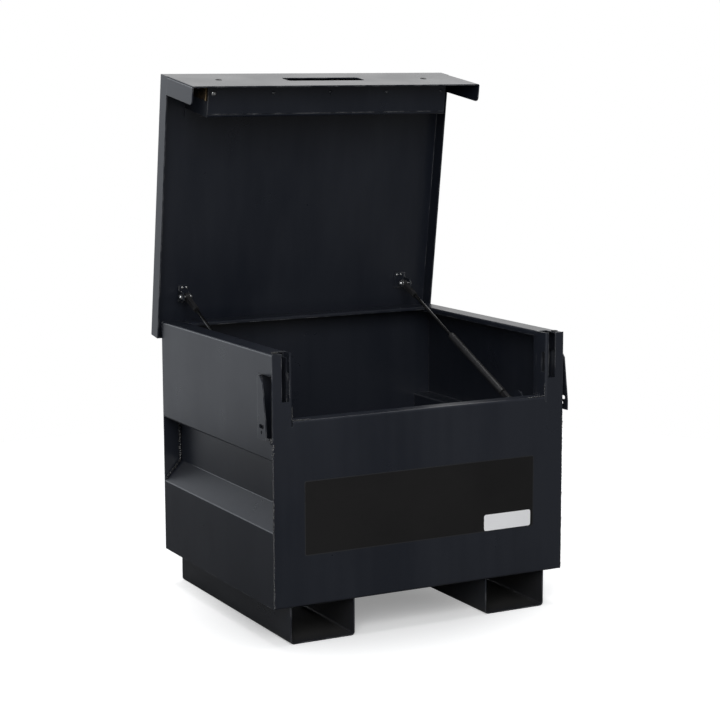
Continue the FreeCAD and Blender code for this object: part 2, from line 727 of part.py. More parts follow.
def key_plug():
    """Turning plug with its keyhole, and the cam that drives the bolt."""
    plug = bar_y(KEY_RADIUS, LID_FRONT_Y, CAM_REAR_Y, KEY_X, KEY_Z)
    cam = box(
        KEY_X - KEY_RADIUS / 2, KEY_X + KEY_RADIUS / 2,
        CAM_FRONT_Y, CAM_REAR_Y, KEY_Z, KEY_Z + CAM_REACH,
    )
    keyhole = box(
        KEY_X - KEY_SLOT_WIDTH / 2, KEY_X + KEY_SLOT_WIDTH / 2,
        LID_FRONT_Y - OVER, LID_FRONT_IN,
        KEY_Z - KEY_SLOT_HEIGHT / 2, KEY_Z + KEY_SLOT_HEIGHT / 2,
    )
    return joined(plug, cam).cut(keyhole)


def strut_bracket_lid():
    """Angle under the lid whose tab carries the strut's upper stud."""
    tab_z = LID_STUD_Z - TAB_HALF
    outline = [(TAB_OUT, tab_z), (TAB_OUT, LID_UNDER), (TAB_OUT - TAB_FOOT_WIDTH, LID_UNDER)]
    front = LID_STUD_Y - TAB_FOOT_LEAD
    bracket = folded(outline, TAB_SHEET, BEND, "XZ", front, front + TAB_FOOT_LENGTH)
    foot_z = LID_UNDER - TAB_SHEET - BEND
    x0 = TAB_IN - OVER
    x1 = TAB_OUT + OVER
    for side in (-1, 1):
        edge = LID_STUD_Y + side * TAB_HALF
        beyond = LID_STUD_Y + side * TAB_FOOT_LENGTH
        corner = edge - side * TAB_CORNER
        waste = [
            (corner, tab_z),
            (edge, tab_z + TAB_CORNER),
            (edge, foot_z),
            (beyond, foot_z),
            (beyond, tab_z - OVER),
            (corner, tab_z - OVER),
        ]
        bracket = bracket.cut(plate_yz(waste, x0, x1))
    bore = bar_x(STUD_RADIUS + RUNNING, x0, x1, LID_STUD_Y, LID_STUD_Z)
    return bracket.cut(bore)


def stud(end, y, z):
    """Bolt along X with its hexagon head inboard of the strut's eye."""
    head_end = STRUT_X - EYE_WIDTH / 2 - RUNNING
    shank = bar_x(STUD_RADIUS, head_end, end, y, z)
    return joined(hexagon_x(head_end - STUD_HEAD, head_end, y, z), shank)


def strut_nut():
    """Closed hexagon nut on the stud's end, outside the lid bracket's tab."""
    return hexagon_x(TAB_OUT, TAB_OUT + NUT_THICK, LID_STUD_Y, LID_STUD_Z)


# Struts, drawn down Z from the lid's stud

def eye_fitting(eye_z, neck_z):
    """Moulded end with an eye round a stud, and a neck with flat sides along Z."""
    half = EYE_WIDTH / 2
    deep = FITTING_DEPTH / 2
    neck = box(-half, half, -deep, deep, min(eye_z, neck_z), max(eye_z, neck_z))
    eye = bar_x(EYE_RADIUS, -half, half, 0, eye_z)
    bore = bar_x(STUD_RADIUS + RUNNING, -EYE_WIDTH, EYE_WIDTH, 0, eye_z)
    return joined(eye, neck).cut(bore)


def rod_end():
    """Black fitting that joins the rod to the lid's stud."""
    return eye_fitting(0, ROD_FITTING)


def strut_rod():
    """Ground rod with its piston inside the tube."""
    rod = bar_z(ROD_RADIUS, ROD_FITTING, ROD_END)
    bore = TUBE_RADIUS - TUBE_WALL
    piston = bar_z(bore - PISTON_CLEARANCE, ROD_END - PISTON_LENGTH, ROD_END)
    return joined(rod, piston)


def strut_cylinder():
    """Gas tube with the rod's guide at its mouth and a cap at its foot."""
    tube = bar_z(TUBE_RADIUS, TUBE_START, TUBE_END)
    hollow = bar_z(TUBE_RADIUS - TUBE_WALL, TUBE_START + GLAND, TUBE_END - TUBE_CAP)
    guide = bar_z(ROD_RADIUS + RUNNING, TUBE_START - OVER, TUBE_START + GLAND + OVER)
    return tube.cut(hollow).cut(guide)


def cylinder_end():
    """Black fitting that joins the tube to its stud."""
    return eye_fitting(STRUT_OPEN, TUBE_END)


def all_pieces():
    """Every piece by name, with the body's front face at Y 0 and the lid open."""
    pieces = {
        "front_panel": front_panel(),
        "back_panel": back_panel(),
        "floor_panel": floor_panel(),
        "hinge_leaf_body": hinge_leaf_body(),
        "hinge_pin": hinge_pin(),
        "hinge_leaf_lid": opened(hinge_leaf_lid()),
        "lid_panel": opened(lid_panel()),
        "lock_housing": opened(lock_housing()),
        "lock_cover": opened(lock_cover()),
    }
    handed = {
        "side_panel": side_panel(),
        "skid": skid(),
        "strike_box": strike_box(),
        "corner_guard": corner_guard(),
        "bump_stop": bump_stop(),
        "strut_bracket_body": strut_bracket_body(),
        "lid_cheek": opened(lid_cheek()),
        "lock_case": opened(lock_case()),
        "lock_forend": opened(lock_forend()),
        "lock_bolt": opened(lock_bolt()),
        "key_plug": opened(key_plug()),
        "strut_bracket_lid": opened(strut_bracket_lid()),
        "strut_stud_lid": opened(stud(TAB_OUT, LID_STUD_Y, LID_STUD_Z)),
        "strut_nut": opened(strut_nut()),
        "rod_end": on_strut(rod_end()),
        "strut_rod": on_strut(strut_rod()),
        "strut_cylinder": on_strut(strut_cylinder()),
        "cylinder_end": on_strut(cylinder_end()),
        "strut_stud_body": stud(BRACKET_IN - BRACKET_CLEARANCE, BODY_STUD_Y, BODY_STUD_Z),
    }
    for name, shape in handed.items():
        pieces[name + "_right"] = shape
        pieces[name + "_left"] = mirrored(shape)
    return pieces


def middle_y(pieces):
    """The middle of the open box from front to back, where the origin goes."""
    front = min(shape.BoundBox.YMin for shape in pieces.values())
    rear = max(shape.BoundBox.YMax for shape in pieces.values())
    return (front + rear) / 2


def main():
    os.makedirs("parts", exist_ok=True)
    pieces = all_pieces()
    shift = vector(0, -middle_y(pieces), 0)
    for name, shape in pieces.items():
        shape.translate(shift)
        shape.exportStep("parts/" + name + ".step")
        if not shape.isValid() or len(shape.Solids) != 1:
            print("check", name, shape.isValid(), len(shape.Solids))
    print("nodes", len(pieces), "shift", shift.y)


if __name__ == "__main__":
    main()
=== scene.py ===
import json
import math
import random

import bmesh
import bpy
from bpy.props import FloatProperty, FloatVectorProperty, IntProperty, PointerProperty
from mathutils import Matrix, Vector


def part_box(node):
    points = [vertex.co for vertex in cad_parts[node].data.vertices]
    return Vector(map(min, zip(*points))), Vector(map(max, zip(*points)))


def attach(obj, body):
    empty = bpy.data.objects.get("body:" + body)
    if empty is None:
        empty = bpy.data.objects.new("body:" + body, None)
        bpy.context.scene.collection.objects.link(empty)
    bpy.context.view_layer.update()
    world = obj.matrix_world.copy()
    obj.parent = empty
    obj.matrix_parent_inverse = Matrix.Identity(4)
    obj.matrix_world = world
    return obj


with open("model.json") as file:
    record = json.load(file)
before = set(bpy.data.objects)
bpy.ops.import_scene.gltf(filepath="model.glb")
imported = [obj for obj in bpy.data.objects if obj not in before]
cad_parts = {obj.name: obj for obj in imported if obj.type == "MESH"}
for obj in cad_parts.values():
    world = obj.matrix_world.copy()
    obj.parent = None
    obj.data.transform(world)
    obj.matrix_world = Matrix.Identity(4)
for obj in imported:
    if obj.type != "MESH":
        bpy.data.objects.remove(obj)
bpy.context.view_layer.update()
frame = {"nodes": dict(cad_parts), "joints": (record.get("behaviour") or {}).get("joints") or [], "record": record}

bl_info = {
    "name": "Jobsite Box",
    "version": (1, 0, 0),
    "blender": (4, 5, 0),
    "location": "3D View > Sidebar > Jobsite Box",
    "description": "Dresses the steel jobsite box with its coat, welds, labels and fixings",
    "category": "Object",
}

NODES = frame["nodes"]
HINGE = next(joint for joint in frame["joints"] if joint["name"] == "lid_hinge")
HINGE_PLACE = Vector(HINGE["pos_m"])

# The frame stands with its lid open. Pieces of the lid are drawn shut and swung open with this.
LID_SWING = (
    Matrix.Translation(HINGE_PLACE)
    @ Matrix.Rotation(math.radians(-HINGE["range_deg"][1]), 4, "X")
    @ Matrix.Translation(-HINGE_PLACE)
)

# Sign of X and name of each side
SIDES = ((1, "right"), (-1, "left"))

# Places on the body's folded sheets, measured from its rim and from its outer side
RECESS_DEPTH = 0.043
RECESS_CEILING = 0.2335
RECESS_WALL = 0.109
RECESS_SLOPE = 0.0472
SILL_DROP = 0.1475
PILLAR_WIDTH = 0.048

# In bead radii, how far a weld stands off the faces or sinks in, and how flat its beads are
BEAD_SEAT = 0.9
BEAD_SINK = 0.35
BEAD_FLAT = 0.7

# Starts of the stitches from a skid's front end, and the length of one
SKID_STITCHES = (0.03, 0.17, 0.31, 0.45, 0.57)
STITCH_LENGTH = 0.03

# Rows of lumps below a corner guard with their reach from the front face, and the drips that
# follow them down the corner
LUMP_ROWS = (0.0, 0.0035, 0.007)
LUMPS_START = 0.0025
LUMPS_END = 0.017
DRIPS_START = 0.01
DRIPS_END = 0.045

# Fixings. The tube's mouth is measured from the strut's stud in the lid.
# Height of the strip of lit brass painted as a highlight on each forend's near end
LIT_TIP_HEIGHT = 0.007
LEAF_THICKNESS = 0.002
BODY_RIVETS_RISE = 0.014
LID_RIVETS_DROP = 0.012
COVER_SCREWS = (-0.15, 0.0, 0.15, 0.302)
COVER_SCREW_ROW = 0.022
ZINC_SCREW = -0.302
BRACKET_SCREWS = (0.011, 0.022)
BRACKET_SCREW_RADIUS = 0.0034
TUBE_MOUTH = 0.264

# Sides of the turned shapes, and the angle above which an edge stays sharp
HEXAGON = 6
SCREW_STEPS = 20
CAP_STEPS = 24
RING_STEPS = 28
SHARP_ANGLE = math.radians(35)

# Values between which noise is spread, and between which two colours blend
NOISE_REACH = (0.3, 0.7)
BLEND_REACH = (0.35, 0.65)

# Where an edge gets its painted highlight, by the turn of its normal, and the noise that breaks it up
EDGE_TURN = (0.97, 0.8)
EDGE_HIGHLIGHT_PATCHES = (0.42, 0.6)

# Dust and painted fill light in the low hollows: how far it feels for walls, how little light
# from them lets it show, and the heights where it starts and where it is full. The lighter
# colour also stands in for light bounced into the skids
HOLLOW_REACH = 0.16
HOLLOW_LIGHT = (0.5, 0.2)
DUST_AND_FILL_HEIGHT = (0.09, 0.07)

# Floor: its white paint, the middle and the reach of the weaker glow that paints shade near the box,
# the glow's strength there and farther out, and the grey that the box sees by plain and by glossy light
FLOOR_WHITE = 0.9
SHADE_MIDDLE = (-0.08, -0.22, 0)
SHADE_REACH = (0.16, 0.62)
FLOOR_GLOW = (0.26, 0.62)
FLOOR_GREY = (0.42, 0.15)

# Colour and strength of the light from all sides
FILL_COLOUR = (0.94, 0.97, 1, 1)
FILL_STRENGTH = 0.31

# Name, place, target, size in metres and power in watts of each lamp
LAMPS = (
    ("key_lamp", (-1.6, -3.4, 2.6), (0, 0, 0.45), 2.6, 105),
    ("top_lamp", (0.0, 0.2, 4.2), (0, 0, 0.3), 2.4, 60),
)


def shut_box(node):
    """Lowest and highest corner of a node of the lid, with the lid shut."""
    swing_back = LID_SWING.inverted()
    points = [swing_back @ vertex.co for vertex in NODES[node].data.vertices]
    low = Vector([min(point[i] for point in points) for i in range(3)])
    high = Vector([max(point[i] for point in points) for i in range(3)])
    return low, high


# Sizes and colours

class CoatSettings(bpy.types.PropertyGroup):
    """Look of the powder coat."""

    colour: FloatVectorProperty(
        name="Coat colour", description="Colour of the powder coat",
        subtype="COLOR", size=3, min=0.0, max=1.0, default=(0.0084, 0.0106, 0.0168),
    )
    colour_worn: FloatVectorProperty(
        name="Dusty colour", description="Colour of the coat where dust has settled on it",
        subtype="COLOR", size=3, min=0.0, max=1.0, default=(0.0162, 0.0186, 0.0256),
    )
    # Colour of the painted highlight along the edges
    colour_edge_highlight: FloatVectorProperty(
        name="Rubbed colour", description="Colour of the coat where an edge is rubbed",
        subtype="COLOR", size=3, min=0.0, max=1.0, default=(0.13, 0.132, 0.138),
    )
    # Lighter colour of the dust and painted fill light in the low hollows, and of the painted glints on the welds
    colour_dust_and_painted_light: FloatVectorProperty(
        name="Dust colour", description="Colour of the dust gathered inside the skids",
        subtype="COLOR", size=3, min=0.0, max=1.0, default=(0.042, 0.041, 0.04),
    )
    # Width of the painted highlight along the edges
    edge_highlight_width: FloatProperty(
        name="Width of wear", description="How far the rubbing reaches from an edge",
        unit="LENGTH", min=0.0, max=0.01, default=0.003,
    )
    roughness: FloatProperty(
        name="Coat roughness", description="Roughness of the satin coat",
        min=0.0, max=1.0, default=0.3,
    )
    peel_size: FloatProperty(
        name="Peel size", description="Size of the coat's fine orange peel",
        unit="LENGTH", min=0.0002, max=0.01, default=0.0016,
    )
    peel_height: FloatProperty(
        name="Peel height", description="Height of the coat's orange peel",
        unit="LENGTH", min=0.0, max=0.001, default=0.00002,
    )


class WeldSettings(bpy.types.PropertyGroup):
    """Size of the weld beads under the coat."""

    radius: FloatProperty(
        name="Bead radius", description="Radius of one ripple of a weld",
        unit="LENGTH", min=0.0005, max=0.01, default=0.0038,
    )
    pitch: FloatProperty(
        name="Bead pitch", description="Distance from one ripple to the next",
        unit="LENGTH", min=0.0005, max=0.02, default=0.0040,
    )
    wander: FloatProperty(
        name="Unevenness", description="How far a ripple strays from the seam",
        unit="LENGTH", min=0.0, max=0.005, default=0.0011,
    )
    seed: IntProperty(
        name="Seed", description="Seed for the unevenness of the ripples", min=0, default=7,
    )


class DecalSettings(bpy.types.PropertyGroup):
    """Place and size of the bare vinyl panel and of the small white label."""

    panel_left: FloatProperty(
        name="Panel left edge", description="Left edge of the black panel on the front",
        unit="LENGTH", default=-0.294,
    )
    panel_right: FloatProperty(
        name="Panel right edge", description="Right edge of the black panel on the front",
        unit="LENGTH", default=0.290,
    )
    panel_foot: FloatProperty(
        name="Panel lower edge", description="Height of the lower edge of the black panel",
        unit="LENGTH", default=0.200,
    )
    panel_head: FloatProperty(
        name="Panel upper edge", description="Height of the upper edge of the black panel",
        unit="LENGTH", default=0.362,
    )
    label_left: FloatProperty(
        name="Label left edge", description="Left edge of the white label",
        unit="LENGTH", default=0.159,
    )
    label_right: FloatProperty(
        name="Label right edge", description="Right edge of the white label",
        unit="LENGTH", default=0.2835,
    )
    label_head: FloatProperty(
        name="Label upper edge", description="Height of the upper edge of the white label",
        unit="LENGTH", default=0.2375,
    )
    border: FloatProperty(
        name="Border", description="How far the clear laminate runs past the black panel",
        unit="LENGTH", min=0.0, max=0.01, default=0.0022,
    )
    film: FloatProperty(
        name="Film thickness", description="Thickness of one layer of vinyl film",
        unit="LENGTH", min=0.00005, max=0.001, default=0.00025,
    )


class FixingSettings(bpy.types.PropertyGroup):
    """Sizes of the screws and rivets, and the number of rivets."""

    screw_radius: FloatProperty(
        name="Screw head radius", description="Radius of the pan heads on the lock cover",
        unit="LENGTH", min=0.001, max=0.01, default=0.0048,
    )
    rivet_radius: FloatProperty(
        name="Rivet head radius", description="Radius of the rivet heads on the hinge leaves",
        unit="LENGTH", min=0.001, max=0.01, default=0.0045,
    )
    rivet_count: IntProperty(
        name="Rivets per leaf", description="Number of rivets along each hinge leaf",
        min=2, max=30, default=8,
    )


class StageSettings(bpy.types.PropertyGroup):
    """Camera and floor."""

    camera_place: FloatVectorProperty(
        name="Camera place", description="Place of the camera",
        subtype="TRANSLATION", size=3, default=(-2.0766, -3.9630, 1.2460),
    )
    camera_turn: FloatProperty(
        name="Camera turn", description="Angle of the view from the front towards the left side",
        subtype="ANGLE", default=math.radians(27.86),
    )
    camera_tilt: FloatProperty(
        name="Camera tilt", description="Angle by which the camera looks down",
        subtype="ANGLE", default=math.radians(8.69),
    )
    camera_roll: FloatProperty(
        name="Camera roll", description="Turn of the camera about its own view",
        subtype="ANGLE", default=math.radians(-0.19),
    )
    lens: FloatProperty(
        name="Lens", description="Focal length of the lens in millimetres",
        min=20.0, max=300.0, default=95.53,
    )
    floor_radius: FloatProperty(
        name="Floor radius", description="Radius of the round floor",
        unit="LENGTH", min=1.0, max=20.0, default=2.2,
    )


# Materials

FINISHES = {
    "powder_coat": "powder_coat_satin",
    "zinc": "zinc_plate",
    "rod_steel": "nitrided_rod",
    "strut_black": "strut_paint",
    "black_plastic": "black_nylon",
    "rubber": "black_rubber",
    # The lock's brass is a darkened copy of brass: painted shade
    "brass": "shaded_brass",
    "black_vinyl": "black_film",
    "white_vinyl": "white_film",
}

# Name, darker colour and lighter colour. The first copy is brass darkened as painted shade, for the
# lock's brass parts; the second is its lit copy, a painted highlight for the forends' near ends
BRASSES = (
    ("shaded_brass", (0.05, 0.036, 0.02), (0.16, 0.11, 0.06)),
    ("lit_brass", (0.5, 0.33, 0.16), (0.75, 0.55, 0.3)),
)

# Name, colour, roughness, and size and height of the grain
DARKS = (
    ("strut_paint", (0.016, 0.016, 0.017), 0.38, 0.0012, 0.00001),
    ("black_nylon", (0.015, 0.015, 0.016), 0.5, 0.0008, 0.00002),
    ("black_rubber", (0.012, 0.012, 0.012), 0.75, 0.0006, 0.00003),
)

# Name, the two colours it varies between, roughness and gloss
FILMS = (
    ("black_film", (0.0098, 0.0094, 0.0096), (0.0118, 0.0113, 0.0114), 0.38, 0.3),
    ("clear_film", (0.017, 0.018, 0.021), (0.022, 0.023, 0.026), 0.3, 0.5),
    ("white_film", (0.84, 0.84, 0.85), (0.88, 0.88, 0.89), 0.4, 0.5),
)


def finish_of(slot):
    """The material for one of the record's slots."""
    return bpy.data.materials[FINISHES[slot]]


def start_material(name):
    """The node tree and the shader of a new material."""
    material = bpy.data.materials.new(name)
    material.use_nodes = True
    tree = material.node_tree
    tree.nodes.clear()
    output = tree.nodes.new("ShaderNodeOutputMaterial")
    shader = tree.nodes.new("ShaderNodeBsdfPrincipled")
    tree.links.new(shader.outputs["BSDF"], output.inputs["Surface"])
    return tree, shader


def noise(tree, size, detail=2.0, stretch=(1, 1, 1)):
    """Noise on object coordinates whose features are about the given size in metres."""
    place = tree.nodes.new("ShaderNodeTexCoord")
    mapping = tree.nodes.new("ShaderNodeMapping")
    mapping.inputs["Scale"].default_value = stretch
    pattern = tree.nodes.new("ShaderNodeTexNoise")
    pattern.inputs["Scale"].default_value = 1 / size
    pattern.inputs["Detail"].default_value = detail
    tree.links.new(place.outputs["Object"], mapping.inputs["Vector"])
    tree.links.new(mapping.outputs["Vector"], pattern.inputs["Vector"])
    return pattern.outputs["Fac"]


def spread(tree, value, low, high):
    """The noise value spread evenly from low to high."""
    return map_range(tree, value, *NOISE_REACH, low, high, "LINEAR")


def map_range(tree, value, from_low, from_high, to_low=0.0, to_high=1.0, way="SMOOTHSTEP"):
    """The value spread from one range to another, smoothly unless told otherwise."""
    reach = tree.nodes.new("ShaderNodeMapRange")
    reach.interpolation_type = way
    reach.inputs["From Min"].default_value = from_low
    reach.inputs["From Max"].default_value = from_high
    reach.inputs["To Min"].default_value = to_low
    reach.inputs["To Max"].default_value = to_high
    tree.links.new(value, reach.inputs["Value"])
    return reach.outputs["Result"]


def combine(tree, operation, first, second, factor=None):
    """Two values multiplied, or the first times the factor added to the second."""
    maths = tree.nodes.new("ShaderNodeMath")
    maths.operation = operation
    tree.links.new(first, maths.inputs[0])
    if factor is None:
        tree.links.new(second, maths.inputs[1])
    else:
        maths.inputs[1].default_value = factor
        tree.links.new(second, maths.inputs[2])
    return maths.outputs["Value"]


def blend_colours(tree, value, first, second):
    """Colour that goes from the first to the second with the noise value."""
    ramp = tree.nodes.new("ShaderNodeValToRGB")
    ends = ramp.color_ramp.elements
    for end, position, colour in zip(ends, BLEND_REACH, (first, second)):
        end.position = position
        end.color = (*colour, 1)
    tree.links.new(value, ramp.inputs["Fac"])
    return ramp.outputs["Color"]


def mix_colour(tree, share, colour, other):
    """The colour mixed with a fixed other colour by the share."""
    mix = tree.nodes.new("ShaderNodeMix")
    mix.data_type = "RGBA"
    colours = [socket for socket in mix.inputs if socket.type == "RGBA"]
    colours[1].default_value = (*other, 1)
    tree.links.new(share, mix.inputs["Factor"])
    tree.links.new(colour, colours[0])
    return next(socket for socket in mix.outputs if socket.type == "RGBA")


def edge_highlight(tree, width):
    """How strongly an edge gets its painted highlight: the bevelled normal's turn, broken up by noise."""
    bevel = tree.nodes.new("ShaderNodeBevel")
    bevel.samples = 4
    bevel.inputs["Radius"].default_value = width
    face = tree.nodes.new("ShaderNodeNewGeometry")
    turn = tree.nodes.new("ShaderNodeVectorMath")
    turn.operation = "DOT_PRODUCT"
    tree.links.new(bevel.outputs["Normal"], turn.inputs[0])
    tree.links.new(face.outputs["Normal"], turn.inputs[1])
    highlit = map_range(tree, turn.outputs["Value"], *EDGE_TURN)
    patches = map_range(tree, noise(tree, size=0.03, detail=5.0), *EDGE_HIGHLIGHT_PATCHES)
    return combine(tree, "MULTIPLY", highlit, patches)


def low_dust_and_fill(tree):
    """How much dust, with painted fill light, lies in the hollows near the ground: the more a low face is hemmed
    in by walls, the lighter it is painted.
    """
    hollow = tree.nodes.new("ShaderNodeAmbientOcclusion")
    hollow.samples = 4
    hollow.inputs["Distance"].default_value = HOLLOW_REACH
    place = tree.nodes.new("ShaderNodeTexCoord")
    parts = tree.nodes.new("ShaderNodeSeparateXYZ")
    tree.links.new(place.outputs["Object"], parts.inputs["Vector"])
    hollow_share = map_range(tree, hollow.outputs["AO"], *HOLLOW_LIGHT)
    low = map_range(tree, parts.outputs["Z"], *DUST_AND_FILL_HEIGHT)
    return combine(tree, "MULTIPLY", hollow_share, low)


def bumps(tree, shader, *layers):
    """Bumps of the given heights in metres, one over the other, on the shader's normal."""
    normal = None
    for value, height in layers:
        bump = tree.nodes.new("ShaderNodeBump")
        bump.inputs["Strength"].default_value = 1.0
        bump.inputs["Distance"].default_value = height
        tree.links.new(value, bump.inputs["Height"])
        if normal is not None:
            tree.links.new(normal, bump.inputs["Normal"])
        normal = bump.outputs["Normal"]
    tree.links.new(normal, shader.inputs["Normal"])


def dress(tree, shader, colour, rough):
    """Gives the shader its colour and its roughness."""
    tree.links.new(colour, shader.inputs["Base Color"])
    tree.links.new(rough, shader.inputs["Roughness"])


def coat_material(settings):
    """Satin powder coat with fine orange peel, faint streaks of dust, dust and painted fill light in the low
    hollows, and a painted highlight along its edges.
    """
    tree, shader = start_material("powder_coat_satin")
    cloud = spread(tree, noise(tree, size=0.3, detail=5.0, stretch=(1, 1, 0.35)), 0.1, 0.6)
    streaks = noise(tree, size=0.03, detail=3.0, stretch=(1, 1, 0.06))
    dust = combine(tree, "MULTIPLY_ADD", streaks, cloud, factor=0.3)
    peel = noise(tree, settings.peel_size, detail=1.0)
    waves = noise(tree, size=0.09, detail=1.0)
    colour = blend_colours(tree, dust, settings.colour, settings.colour_worn)
    # Dust and painted fill light: low hollows that get little light are lightened, standing in for light bounced
    # into them
    colour = mix_colour(tree, low_dust_and_fill(tree), colour, settings.colour_dust_and_painted_light)
    # Painted highlight: a lighter colour along the bevelled edges stands in for the light the edges catch
    colour = mix_colour(tree, edge_highlight(tree, settings.edge_highlight_width), colour, settings.colour_edge_highlight)
    rough = settings.roughness
    rough = spread(tree, noise(tree, size=0.12, detail=5.0), rough - 0.03, rough + 0.04)
    dress(tree, shader, colour, rough)
    shader.inputs["IOR"].default_value = 1.5
    bumps(tree, shader, (waves, 0.0002), (peel, settings.peel_height))


def weld_coat_material(settings):
    """Coat over a weld bead, glossier, with lighter patches painted on as glints of its ripples."""
    tree, shader = start_material("powder_coat_weld")
    patches = noise(tree, size=0.006)
    # Painted highlight: lighter patches stand in for the glints on the ripples
    colour = blend_colours(tree, patches, settings.colour, settings.colour_dust_and_painted_light)
    dress(tree, shader, colour, spread(tree, patches, 0.16, 0.3))
    shader.inputs["IOR"].default_value = 1.6
    bumps(tree, shader, (noise(tree, size=0.0012), 0.0001))


def zinc_material():
    """Bright zinc plate with faint brushing."""
    tree, shader = start_material("zinc_plate")
    streaks = noise(tree, size=0.0012, stretch=(0.15, 1, 1))
    patches = noise(tree, size=0.02, detail=3.0)
    colour = blend_colours(tree, patches, (0.52, 0.53, 0.54), (0.66, 0.66, 0.65))
    dress(tree, shader, colour, spread(tree, streaks, 0.22, 0.4))
    shader.inputs["Metallic"].default_value = 1.0
    bumps(tree, shader, (streaks, 0.00001))


def rod_material():
    """Dark nitrided piston rod with fine ground lines."""
    tree, shader = start_material("nitrided_rod")
    lines = noise(tree, size=0.0006, detail=1.0)
    colour = blend_colours(tree, noise(tree, size=0.03), (0.05, 0.05, 0.05), (0.09, 0.09, 0.09))
    dress(tree, shader, colour, spread(tree, lines, 0.22, 0.34))
    shader.inputs["Metallic"].default_value = 1.0


def brass_material(name, dark, bright):
    """Brass mottled between the dark and the bright colour; the shaded copy's colours are painted shade, the lit
    copy's a painted highlight.
    """
    tree, shader = start_material(name)
    mottle = noise(tree, size=0.012, detail=4.0)
    streaks = noise(tree, size=0.001, stretch=(1, 1, 0.1))
    colour = blend_colours(tree, mottle, dark, bright)
    dress(tree, shader, colour, spread(tree, streaks, 0.25, 0.42))
    shader.inputs["Metallic"].default_value = 1.0
    bumps(tree, shader, (streaks, 0.00001))


def dark_material(name, colour, roughness, grain, height):
    """Dark paint, plastic or rubber with a grain of its own."""
    tree, shader = start_material(name)
    tone = noise(tree, grain * 12, detail=3.0)
    lighter = [value * 1.35 for value in colour]
    mottled = blend_colours(tree, tone, colour, lighter)
    rough = spread(tree, noise(tree, grain * 4), roughness - 0.04, roughness + 0.05)
    dress(tree, shader, mottled, rough)
    bumps(tree, shader, (noise(tree, grain, detail=1.0), height))


def film_material(name, low, high, roughness, gloss):
    """Vinyl film with a slight wave where it lies on the coat."""
    tree, shader = start_material(name)
    colour = blend_colours(tree, noise(tree, size=0.2), low, high)
    rough = noise(tree, size=0.05, detail=4.0)
    dress(tree, shader, colour, spread(tree, rough, roughness - 0.03, roughness + 0.03))
    shader.inputs["Specular IOR Level"].default_value = gloss
    wave = noise(tree, size=0.08, detail=1.0)
    grain = noise(tree, size=0.002, detail=1.0)
    bumps(tree, shader, (wave, 0.0002), (grain, 0.00001))


# Shapes

def new_piece(name, shape, slot, body, place=Matrix.Identity(4), finish=None):
    """Turns a bmesh into a piece that rides on a body, in its slot's finish or another."""
    bmesh.ops.transform(shape, matrix=place, verts=shape.verts)
    bmesh.ops.recalc_face_normals(shape, faces=shape.faces)
    for face in shape.faces:
        face.smooth = True
    mesh = bpy.data.meshes.new(name)
    shape.to_mesh(mesh)
    shape.free()
    mesh.set_sharp_from_angle(angle=SHARP_ANGLE)
    mesh.materials.append(bpy.data.materials[finish] if finish else finish_of(slot))
    piece = bpy.data.objects.new(name, mesh)
    bpy.context.scene.collection.objects.link(piece)
    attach(piece, body)


def new_weld(name, shape):
    """A weld on the body, with the coat's weld finish."""
    new_piece(name, shape, "powder_coat", "body", finish="powder_coat_weld")


def add_turned(shape, profile, steps, place):
    """Adds a shape turned about Z from a profile of (radius, height) points."""
    before = set(shape.verts)
    verts = [shape.verts.new((radius, 0, height)) for radius, height in profile]
    edges = [shape.edges.new(pair) for pair in zip(verts, verts[1:])]
    bmesh.ops.spin(
        shape, geom=verts + edges, cent=(0, 0, 0), axis=(0, 0, 1),
        angle=math.tau, steps=steps, use_merge=True,
    )
    made = [vert for vert in shape.verts if vert not in before]
    bmesh.ops.remove_doubles(shape, verts=made, dist=0.000001)
    made = [vert for vert in made if vert.is_valid]
    bmesh.ops.transform(shape, matrix=place, verts=made)


def rounded_plate(width, height, thickness, corner):
    """A thin plate with rounded corners, upright in XZ, which rises from Y 0 to the front."""
    shape = bmesh.new()
    made = bmesh.ops.create_grid(shape, x_segments=1, y_segments=1, size=0.5)["verts"]
    bmesh.ops.scale(shape, vec=(width, height, 1), verts=made)
    bmesh.ops.bevel(
        shape, geom=made, offset=corner, affect="VERTICES", segments=6, profile=0.5, material=-1,
    )
    risen = bmesh.ops.extrude_face_region(shape, geom=shape.faces[:], use_keep_orig=True)["geom"]
    top = [item for item in risen if isinstance(item, bmesh.types.BMVert)]
    bmesh.ops.translate(shape, vec=(0, 0, thickness), verts=top)
    upright = Matrix.Rotation(math.radians(90), 4, "X")
    bmesh.ops.transform(shape, matrix=upright, verts=shape.verts)
    return shape


def add_weld(shape, run, settings, dice, scale=1.0):
    """Adds overlapping ripples along a run of points."""
    for start, end in zip(run, run[1:]):
        start = Vector(start)
        along = Vector(end) - start
        count = max(1, round(along.length / (settings.pitch * scale)))
        aim = along.to_track_quat("Z", "Y").to_matrix().to_4x4()
        for index in range(count):
            middle = start + along * (index + 0.5) / count
            wander = Vector([dice.uniform(-1, 1) for _ in range(3)]) * settings.wander * scale
            swell = dice.uniform(0.85, 1.2)
            grow = Matrix.Diagonal((swell, swell, BEAD_FLAT * dice.uniform(0.9, 1.15), 1))
            bead = bmesh.ops.create_uvsphere(
                shape, u_segments=8, v_segments=6, radius=settings.radius * scale,
            )["verts"]
            bmesh.ops.transform(
                shape, matrix=Matrix.Translation(middle + wander) @ aim @ grow, verts=bead,
            )


def pan_head(radius):
    """Profile of a low round screw head with a recess in its middle."""
    return [
        (0, radius * 0.2),
        (radius * 0.3, radius * 0.2),
        (radius * 0.36, radius * 0.55),
        (radius * 0.7, radius * 0.5),
        (radius * 0.92, radius * 0.32),
        (radius, radius * 0.1),
        (radius, 0),
        (0, 0),
    ]


